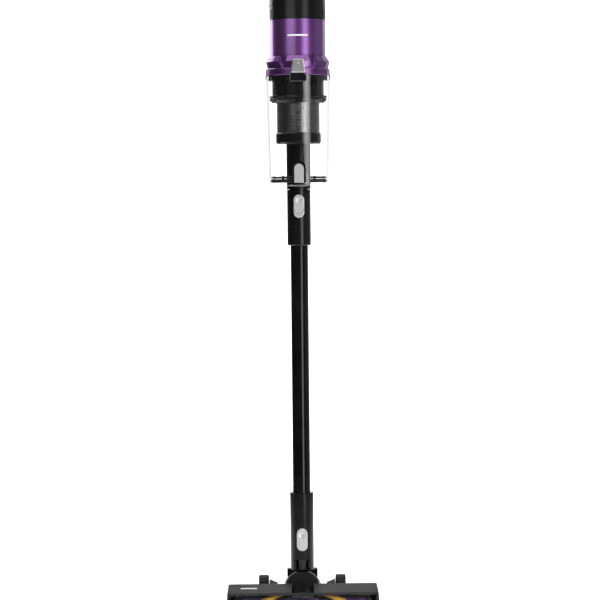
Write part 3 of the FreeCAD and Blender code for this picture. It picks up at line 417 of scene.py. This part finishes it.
SIDES = ((-1, "left"), (1, "right"))
SLEEVE_R = 24.2 * MM
PILE_HALF = 111.0 * MM
LEAD = 220.0 * MM
STARTS = 3
ROW_START = math.radians(65.0)
SLEEVE_FUZZ = 0.35 * MM
SLEEVE_END = 3.0 * MM     # length of the rounded end
SLEEVE_DROP = 2.0 * MM    # how far the rounded end falls
BRISTLE_END = 2.5 * MM
BRISTLE_FUZZ = 0.5 * MM
BRISTLE_PROFILE = ((-1.0, 0.0), (-0.86, 0.75), (-0.55, 0.95), (-0.2, 1.0), (0.2, 1.0), (0.55, 0.95),
                   (0.86, 0.75), (1.0, 0.0))


def row_angle(x, start):
    """Angle from the top towards the back of one bristle row; the rows meet in a V at mid width."""
    return 2 * math.pi * (start / STARTS - abs(x) / LEAD) + ROW_START


def on_roll(x, radius, angle):
    return (BRUSH.x + x, BRUSH.y + radius * math.sin(angle), BRUSH.z + radius * math.cos(angle))


def brush_sleeve():
    """Plush purple sleeve with a softly uneven surface and rounded ends."""
    bm = bmesh.new()
    around, along = 110, 200
    rows = []
    for i in range(along + 1):
        x = -PILE_HALF + 2 * PILE_HALF * i / along
        edge = min(1.0, (PILE_HALF - abs(x)) / SLEEVE_END)
        row = []
        for j in range(around):
            radius = SLEEVE_R + rng.uniform(-1.0, 1.0) * SLEEVE_FUZZ - SLEEVE_DROP * (1 - math.sqrt(edge))
            row.append(bm.verts.new(on_roll(x, radius, 2 * math.pi * j / around)))
        rows.append(row)
    closed_body(bm, rows)
    sleeve = piece("brush_plush_sleeve", bm, "pile", "brush_roll")
    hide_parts("brush_pile")


def bristle_rows(name, material, shift, half_width, crest):
    """Rows of taller bristles in a V pattern round the roll, with ragged tips."""
    bm = bmesh.new()
    steps = 240
    reach = PILE_HALF - BRISTLE_END
    base = SLEEVE_R - 1.0 * MM
    for start in range(STARTS):
        rings = []
        for i in range(steps + 1):
            x = -reach + 2 * reach * i / steps
            tip = crest - rng.uniform(0.0, 1.0) * BRISTLE_FUZZ
            ring = []
            for side, rise in BRISTLE_PROFILE:
                angle = row_angle(x, start) + (shift + side * half_width) / SLEEVE_R
                ring.append(bm.verts.new(on_roll(x, base + (tip - base) * rise, angle)))
            rings.append(ring)
        closed_body(bm, rings)
    piece(name, bm, material, "brush_roll")


GAUZE_ROWS = 20
GAUZE_WIRES = 92
GAUZE_PROUD = 0.2 * MM
GAUZE_EDGE = 0.6 * MM
GAUZE_HALF_WIRE = 0.55 * MM
GAUZE_HALF_THICK = 0.12 * MM
RING_STEPS = 120


def gauze():
    """Woven steel gauze round the cyclone: upright wires crossed by level rings."""
    low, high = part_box("mesh_shroud")
    radius = (high.x - low.x) / 2 + GAUZE_PROUD
    bottom, top = low.z + GAUZE_EDGE, high.z - GAUZE_EDGE
    bm = bmesh.new()
    wire, thick = GAUZE_HALF_WIRE, GAUZE_HALF_THICK
    for i in range(GAUZE_WIRES):
        angle = 2 * math.pi * i / GAUZE_WIRES
        out = Vector((math.sin(angle), -math.cos(angle), 0))
        side = Vector((math.cos(angle), math.sin(angle), 0))
        hub = Vector((0, BIN_Y, 0)) + out * radius
        corners = []
        for z in (bottom, top):
            corners.append([bm.verts.new(hub + side * a * wire + out * b * thick + Vector((0, 0, z)))
                            for a, b in ((-1, 1), (1, 1), (1, -1), (-1, -1))])
        closed_body(bm, corners)
    for row in range(GAUZE_ROWS + 1):
        z = bottom + (top - bottom) * row / GAUZE_ROWS
        ring_section(bm, radius, wire, thick, z)
    piece("shroud_gauze", bm, "gauze", "hand_unit", smooth=False)


def ring_section(bm, radius, wire, thick, z):
    """Thin flat ring about the bin's axis."""
    loops = []
    for out, up in ((1, 1), (-1, 1), (-1, -1), (1, -1)):
        r = radius + out * thick
        loop = []
        for i in range(RING_STEPS):
            angle = 2 * math.pi * i / RING_STEPS
            loop.append(bm.verts.new((r * math.sin(angle), BIN_Y - r * math.cos(angle), z + up * wire)))
        loops.append(loop)
    bridge(bm, loops + loops[:1])


def wrapped_bar(name, width, height, radius, z, body, material):
    """Plain raised bar that follows the round front of the motor shell."""
    bm = bmesh.new()
    count = 24
    proud, sunk, blunt = 0.12 * MM, 0.3 * MM, 0.35
    rows = []
    for i in range(count + 1):
        x = -width / 2 + width * i / count
        end = min(1.0, (width / 2 - abs(x)) / (height / 2) + blunt)
        half = height / 2 * math.sqrt(end)
        depth = math.sqrt((radius + proud) ** 2 - x * x)
        inner = math.sqrt((radius - sunk) ** 2 - x * x)
        rows.append([bm.verts.new((x, BIN_Y - depth, z - half)), bm.verts.new((x, BIN_Y - depth, z + half)),
                     bm.verts.new((x, BIN_Y - inner, z + half)), bm.verts.new((x, BIN_Y - inner, z - half))])
    closed_body(bm, rows)
    piece(name, bm, material, body)


def tube_loop(name, points, radius, material, body, closed=True):
    """Round rod bent through points, as a mesh."""
    curve = bpy.data.curves.new(name, "CURVE")
    curve.dimensions = "3D"
    curve.bevel_depth = radius
    curve.bevel_resolution = 3
    spline = curve.splines.new("NURBS")
    spline.points.add(len(points) - 1)
    for point, place in zip(spline.points, points):
        point.co = (*place, 1.0)
    spline.order_u = 3
    spline.use_cyclic_u = closed
    spline.use_endpoint_u = not closed
    spline.resolution_u = 6
    holder = bpy.data.objects.new(name + "_line", curve)
    mesh = bpy.data.meshes.new_from_object(holder)
    bpy.data.objects.remove(holder)
    bm = bmesh.new()
    bm.from_mesh(mesh)
    bpy.data.meshes.remove(mesh)
    return piece(name, bm, material, body)


CATCH_HALF = 12.6 * MM
CATCH_CORNER = 4.0 * MM
CATCH_ROD = 0.8 * MM
CATCH_DROP = 13.0 * MM


def catch_loop():
    """Rounded wire frame under the latch that the bin hangs from, with a dark plate behind it; the frame's
    grey is partly its own colour and partly painted highlight on its edges.
    """
    y = LATCH_LOW.y + 0.9 * MM
    top, bottom = LATCH_LOW.z + 0.5 * MM, LATCH_LOW.z - CATCH_DROP
    half, corner = CATCH_HALF, CATCH_CORNER
    points = []
    for sx, sz in ((-1, 1), (-1, -1), (1, -1), (1, 1)):
        x, z = sx * half, top if sz > 0 else bottom
        near = (x, y, z - sz * corner), (x, y, z), (x - sx * corner, y, z)
        points += near if sx * sz > 0 else tuple(reversed(near))
    tube_loop("bin_catch_frame", points, CATCH_ROD, "frame_grey_highlight", "bin")
    plate = rounded_plate(2 * half - 3 * CATCH_ROD, top - bottom - 2.5 * CATCH_ROD, 3.6 * MM, 0.8 * MM)
    place(plate, Vector((0, y + 1.1 * MM, (top + bottom) / 2)), -Y_UP, Z_UP)
    piece("bin_catch_plate", plate, "gloss_black", "bin", smooth=False)


# side outline of a hook in mm from the lip's edge, and its layers along Y with their scale
HOOK_OUTLINE = ((0.0, 4.0), (1.2, 3.2), (1.9, 0.5), (1.9, -4.2), (1.1, -5.2), (0.3, -4.0), (0.0, -1.0))
HOOK_LAYERS = ((-4.5, 0.6), (-3.6, 1.0), (3.6, 1.0), (4.5, 0.6))
HOOK_INSET = 1.0


def lip_hooks():
    """Small dark hooks at both sides of the bin's lip."""
    for side, name in SIDES:
        bm = bmesh.new()
        layers = []
        for y, scale in HOOK_LAYERS:
            layers.append([bm.verts.new((side * (LIP_EDGE + (dx * scale - HOOK_INSET) * MM), BIN_Y + y * MM,
                                         LIP_LOW - HOOK_INSET * MM + dz * scale * MM))
                           for dx, dz in HOOK_OUTLINE])
        closed_body(bm, layers)
        piece(f"lip_hook_{name}", bm, "satin_black", "bin")


def rounded_plate(width, height, corner, thick, bevel=0.25 * MM):
    """Flat plate with round corners in its own XY plane, front face at +thick / 2."""
    bm = bmesh.new()
    outline = []
    for cx, cy, start in ((1, 1, 0), (-1, 1, 90), (-1, -1, 180), (1, -1, 270)):
        for step in range(7):
            angle = math.radians(start + 15 * step)
            outline.append((cx * (width / 2 - corner) + corner * math.cos(angle),
                            cy * (height / 2 - corner) + corner * math.sin(angle)))
    layers = []
    for z, inset in ((-thick / 2, 0.0), (thick / 2 - bevel, 0.0), (thick / 2, bevel)):
        layers.append([bm.verts.new((x * (1 - 2 * inset / width), y * (1 - 2 * inset / height), z))
                       for x, y in outline])
    bridge(bm, layers)
    bm.faces.new(list(reversed(layers[0])))
    bm.faces.new(layers[-1])
    return bm


def place(bm, centre, normal, up):
    """Turn a plate so that its front faces along normal, and move it to centre."""
    normal = normal.normalized()
    across = up.cross(normal).normalized()
    up = normal.cross(across)
    frame_matrix = Matrix((across, up, normal)).transposed().to_4x4()
    bmesh.ops.transform(bm, matrix=Matrix.Translation(centre) @ frame_matrix, verts=bm.verts)


RIM_START, RIM_STEP, RIM_POINTS = 18.0, 4.5, 13    # degrees from the top, and how many points
RIM_ROD = 0.9 * MM


def knuckle_highlight_rim():
    """Painted highlight: a pale rod round the front edge of the swivel dome, on both sides of the neck."""
    low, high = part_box("knuckle_dome")
    front = low.y + 0.3 * MM
    radius = (high.x - low.x) / 2 + 0.2 * MM
    for side, name in SIDES:
        points = []
        for step in range(RIM_POINTS):
            angle = math.radians(RIM_START + RIM_STEP * step)
            points.append((side * radius * math.sin(angle), front, SWIVEL_Z + radius * math.cos(angle)))
        tube_loop(f"knuckle_rim_{name}", points, RIM_ROD, "rim_highlight_grey", "knuckle", closed=False)


def latch_highlight_edge():
    """Painted highlight: a near-white rod along the latch's foot and right side, standing in for the light on
    its edges.
    """
    front = LATCH_LOW.y + 0.7 * MM
    foot, head = LATCH_LOW.z + 0.9 * MM, LATCH_HIGH.z - 1.2 * MM
    wide, narrow = 11.0 * MM, 8.0 * MM
    turn = 0.6 * MM
    points = [(-wide + 0.4 * MM, front, foot), (-wide + 1.2 * MM, front, foot), (wide - turn, front, foot),
              (wide, front, foot), (wide, front, foot + turn), (narrow, front, head)]
    tube_loop("latch_painted_highlight_edge", points, 0.75 * MM, "painted_highlight", "latch", closed=False)


HEAD_BAR_X = -88.0 * MM
HEAD_BAR_SHARE = 0.52     # share of the cover's depth from its front
Y_UP = Vector((0, 1, 0))
Z_UP = Vector((0, 0, 1))


def head_bar():
    """Plain pale inlay on the head's top, left of the neck."""
    low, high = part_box("head_cover")
    bar = rounded_plate(27 * MM, 6.5 * MM, 1.2 * MM, 0.8 * MM)
    place(bar, Vector((HEAD_BAR_X, low.y + HEAD_BAR_SHARE * (high.y - low.y), high.z)), Z_UP, Y_UP)
    piece("head_plain_bar", bar, "light_grey", "floor_head", smooth=False)


def chevron():
    """Small raised arrow on the latch that says which way it slides."""
    bm = bmesh.new()
    face_y = LATCH_LOW.y - 0.15 * MM
    centre = Vector(((LATCH_LOW.x + LATCH_HIGH.x) / 2, face_y, LATCH_HIGH.z - 6.0 * MM))
    wide, tall, thick = 2.0 * MM, 1.6 * MM, 0.6 * MM
    outline = [(-wide, -tall), (0, 0), (wide, -tall), (wide, -tall - thick), (0, -thick),
               (-wide, -tall - thick)]
    loops = [[bm.verts.new((centre.x + x, y, centre.z + z)) for x, z in outline]
             for y in (face_y, face_y + 0.5 * MM)]
    closed_body(bm, loops)
    piece("latch_arrow", bm, "accent", "latch", smooth=False)


def copy_into(bm, other):
    """Add the faces of one bmesh to another."""
    mesh = bpy.data.meshes.new("copied")
    other.to_mesh(mesh)
    other.free()
    bm.from_mesh(mesh)
    bpy.data.meshes.remove(mesh)


GRIP_TOP = Vector((0, 72.0 * MM + WAND_Y, 1018.0 * MM))
GRIP_FOOT = Vector((0, 114.0 * MM + WAND_Y, 892.0 * MM))
GRIP_RIBS = 11
GRIP_PITCH = 7.4 * MM


def grip_pad():
    """Ribbed soft pad let into the rear of the grip."""
    up = (GRIP_TOP - GRIP_FOOT).normalized()
    out = Vector((0, up.z, -up.y))
    centre = (GRIP_TOP + GRIP_FOOT) / 2
    bm = rounded_plate(18 * MM, 92 * MM, 6 * MM, 1.6 * MM, 0.6 * MM)
    place(bm, centre, out, up)
    for i in range(GRIP_RIBS):
        rib = rounded_plate(13 * MM, 2.6 * MM, 1.2 * MM, 1.2 * MM, 0.5 * MM)
        place(rib, centre + up * (i - GRIP_RIBS // 2) * GRIP_PITCH + out * 1.2 * MM, out, up)
        copy_into(bm, rib)
    piece("grip_rubber_pad", bm, "grip", "hand_unit", smooth=False)


MARKS = 5
MARK_PITCH = 3.2 * MM


def display_marks():
    """Charge marks on the display lens: five plain bars of growing height."""
    low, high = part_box("display_lens")
    bm = bmesh.new()
    for i in range(MARKS):
        bar = rounded_plate(1.8 * MM, (3.0 + 1.1 * i) * MM, 0.8 * MM, 0.3 * MM, 0.1 * MM)
        x = (i - MARKS // 2) * MARK_PITCH
        place(bar, Vector((x, (low.y + high.y) / 2, high.z + 0.05 * MM)), Z_UP, Y_UP)
        copy_into(bm, bar)
    piece("display_charge_marks", bm, "accent", "hand_unit", smooth=False)


TYRE_STEPS = 96
TYRE_EDGE = 5.6 * MM
TYRE_FLAT = 5.0 * MM
TYRE_PROUD = 0.08 * MM
TYRE_GROOVE = 0.25 * MM    # grooves and edges, below the wheel's own tread
TYRE_ROOT = 1.2 * MM


def wheel_tyres():
    """Soft tyre let into the tread of each rear wheel, with cross grooves."""
    for _, name in SIDES:
        low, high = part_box(f"rear_wheel_{name}")
        centre = (low + high) / 2
        radius = (high.z - low.z) / 2
        bm = bmesh.new()
        rows = []
        for dx in (-TYRE_EDGE, -TYRE_FLAT, TYRE_FLAT, TYRE_EDGE, TYRE_EDGE, -TYRE_EDGE):
            ring = []
            for i in range(TYRE_STEPS):
                low_spot = i % 4 == 0 or abs(dx) > TYRE_FLAT
                r = radius - TYRE_GROOVE if low_spot else radius + TYRE_PROUD
                if len(rows) > 3:
                    r = radius - TYRE_ROOT
                angle = 2 * math.pi * i / TYRE_STEPS
                ring.append(bm.verts.new((centre.x + dx, centre.y + r * math.sin(angle),
                                          centre.z + r * math.cos(angle))))
            rows.append(ring)
        bridge(bm, rows + rows[:1])
        piece(f"wheel_tyre_{name}", bm, "rubber", f"wheel_{name}", smooth=False)


# node, joint, travel, body, turns
SPRINGS = (("neck_button_spring", "neck_button_press", 2.5 * MM, "neck", 2),
           ("wand_button_spring", "wand_button_press", 1.5 * MM, "wand", 2),
           ("trigger_spring", "trigger_pull", 6.0 * MM, "hand_unit", 4))
COIL_POINTS = 12
COIL_WIRE = 0.35 * MM


def press_springs():
    """Coil springs with the button or trigger in front of them, each built as a fixed coil in place of its
    CAD spring.
    """
    for node, joint, travel, body, turns in SPRINGS:
        low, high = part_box(node)
        centre = (low + high) / 2
        radius = (high.x - low.x) / 2 - COIL_WIRE
        start, stop = low.y + 2 * COIL_WIRE, high.y - 2 * COIL_WIRE
        count = turns * COIL_POINTS
        points = []
        for i in range(count + 1):
            angle = 2 * math.pi * i / COIL_POINTS
            points.append((centre.x + radius * math.cos(angle), start + (stop - start) * i / count,
                           centre.z + radius * math.sin(angle)))
        spring = tube_loop(f"{node}_coil", points, COIL_WIRE, "steel", body, closed=False)
        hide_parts(node)
        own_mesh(spring)


# ------------------------------------------------------------------- studio


FRONT_GLOW, REAR_GLOW = 0.22, 0.9    # the floor's own light in front of and behind the object
GLOW_FROM, GLOW_TO = -0.25, 0.1       # where along Y it grows


def white_cyclorama():
    """Pale floor that curves up into a pale backdrop behind the object."""
    bm = bmesh.new()
    half, rear, top, radius, steps = 9.0, 5.0, 9.0, 2.0, 16
    path = [(-half, 0.0), (rear - radius, 0.0)]
    for i in range(1, steps + 1):
        angle = math.pi / 2 * i / steps
        path.append((rear - radius + radius * math.sin(angle), radius - radius * math.cos(angle)))
    path.append((rear, top))
    rows = [[bm.verts.new((x, y, z - 0.4 * MM)) for x in (-half, half)] for y, z in path]
    for first, second in zip(rows, rows[1:]):
        bm.faces.new((first[0], first[1], second[1], second[0]))
    mesh = bpy.data.meshes.new("studio_floor")
    bm.to_mesh(mesh)
    bm.free()
    for polygon in mesh.polygons:
        polygon.use_smooth = True
    floor = bpy.data.objects.new("studio_floor", mesh)
    bpy.context.scene.collection.objects.link(floor)
    s = Shader("studio_white")
    mottle = s.noise(3.0, 2.0)
    split = s.add("ShaderNodeSeparateXYZ")
    s.link(s.coords, split.inputs["Vector"])
    glow = s.remap(split.outputs["Y"], FRONT_GLOW, REAR_GLOW, GLOW_FROM, GLOW_TO)
    s.set(Base_Color=s.mix(mottle, (0.9, 0.9, 0.9), (0.93, 0.93, 0.93)), Roughness=0.9)
    s.set(Emission_Color=(1.0, 1.0, 1.0), Emission_Strength=glow)
    mesh.materials.append(s.mat)


SURROUND = 1.05       # radius of the dark card about the stick
CARD_REACH = 171.0    # degrees to each side of the front
CARD_FOOT, CARD_TOP = 0.002, 2.0
STRIP_DISTANCE = SURROUND - 0.1
STRIP_LAYER = 0.01
LOW, HIGH, FULL = (0.02, 0.95), (0.97, 1.9), (0.02, 1.9)
# name, azimuth and half angle in degrees, heights, radiance, layer in front of the first
STRIPS = (("left_panel", -26, 20, HIGH, 0.3, 0), ("left_panel", -26, 17, HIGH, 0.3, 1),
          ("left_panel", -26, 13, HIGH, 0.3, 2), ("right_high", 29, 12, HIGH, 0.58, 0),
          ("right_low", 29, 12, LOW, 1.5, 0), ("right_high", 29, 6, HIGH, 0.58, 1),
          ("right_low", 29, 6, LOW, 1.5, 1), ("left_rim", -149, 8, LOW, 0.4, 0),
          ("left_rim_high", -137, 17, HIGH, 2.0, 0), ("right_rim", 138, 14, FULL, 0.6, 0),
          ("right_fill", 92, 38, FULL, 0.15, 0))


def strip(name, azimuth, half_angle, span, radiance, distance):
    """Upright softbox seen from the stick at an azimuth from the front, + to the right."""
    width = 2 * distance * math.tan(math.radians(half_angle))
    low, high = span
    data = bpy.data.lights.new(name, "AREA")
    data.shape = "RECTANGLE"
    data.size, data.size_y = width, high - low
    data.energy = radiance * math.pi * width * (high - low)
    light = bpy.data.objects.new(name, data)
    angle = math.radians(azimuth)
    light.location = (distance * math.sin(angle), WAND_Y - distance * math.cos(angle), (low + high) / 2)
    light.rotation_euler = (math.pi / 2, 0, angle)
    light.visible_camera = False
    bpy.context.scene.collection.objects.link(light)
    return light


def dark_surround():
    """Black card round the sides and front that keeps reflections in the gloss parts dark, as in a studio."""
    bm = bmesh.new()
    count = 48
    columns = []
    for i in range(count + 1):
        angle = math.radians(-CARD_REACH + 2 * CARD_REACH * i / count)
        x, y = SURROUND * math.sin(angle), WAND_Y - SURROUND * math.cos(angle)
        columns.append([bm.verts.new((x, y, z)) for z in (CARD_FOOT, CARD_TOP)])
    for first, second in zip(columns, columns[1:]):
        bm.faces.new((first[0], second[0], second[1], first[1]))
    mesh = bpy.data.meshes.new("dark_surround")
    bm.to_mesh(mesh)
    bm.free()
    card = bpy.data.objects.new("dark_surround", mesh)
    bpy.context.scene.collection.objects.link(card)
    s = Shader("black_card")
    s.set(Base_Color=s.mix(s.noise(8.0), (0.006, 0.006, 0.006), (0.01, 0.01, 0.01)), Roughness=0.95)
    mesh.materials.append(s.mat)
    card.visible_camera = False
    card.visible_shadow = False


def studio():
    world = bpy.data.worlds.new("studio_world")
    bpy.context.scene.world = world
    world.use_nodes = True
    world.node_tree.nodes["Background"].inputs["Color"].default_value = (1, 1, 1, 1)
    world.node_tree.nodes["Background"].inputs["Strength"].default_value = 1.0
    bpy.context.scene.view_settings.view_transform = "Standard"
    dark_surround()
    for name, azimuth, half_angle, span, radiance, layer in STRIPS:
        strip(name, azimuth, half_angle, span, radiance, STRIP_DISTANCE - STRIP_LAYER * layer)
    fill = strip("front_fill", 0, 30, (0.3, 1.9), 1.1, SURROUND - 0.15)
    fill.visible_glossy = False


# metres from the stick's axis, radians, and a focal length in mm for a 36 mm sensor
CAMERA = {"x": -0.0159, "back": 3.118, "height": 0.7228, "pitch": 0.0610, "yaw": -0.0052,
          "roll": -0.0098, "focal": 113.724}
SENSOR = 36.0


def camera():
    data = bpy.data.cameras.new("camera")
    data.sensor_width = SENSOR
    data.lens = CAMERA["focal"]
    data.clip_end = 50.0
    obj = bpy.data.objects.new("camera", data)
    turn = Matrix.Rotation(CAMERA["yaw"], 4, "Z") @ Matrix.Rotation(math.pi / 2 - CAMERA["pitch"], 4, "X")
    turn = turn @ Matrix.Rotation(CAMERA["roll"], 4, "Z")
    stand = Vector((CAMERA["x"], WAND_Y - CAMERA["back"], CAMERA["height"]))
    obj.matrix_world = Matrix.Translation(stand) @ turn
    bpy.context.scene.collection.objects.link(obj)
    bpy.context.scene.camera = obj


dress_cad()
brush_sleeve()
bristle_rows("brush_yellow_bristles", "yellow_pile", 0.0, 6.8 * MM, 29.9 * MM)
bristle_rows("brush_black_bristles", "black_pile", -12.6 * MM, 7.2 * MM, 27.4 * MM)
chevron()
gauze()
wrapped_bar("shell_plain_bar", 33 * MM, 2.8 * MM, SHELL_R, SHELL_BAR_Z, "hand_unit", "light_grey")
catch_loop()
lip_hooks()
knuckle_highlight_rim()
latch_highlight_edge()
head_bar()
grip_pad()
display_marks()
wheel_tyres()
press_springs()
white_cyclorama()
studio()
camera()
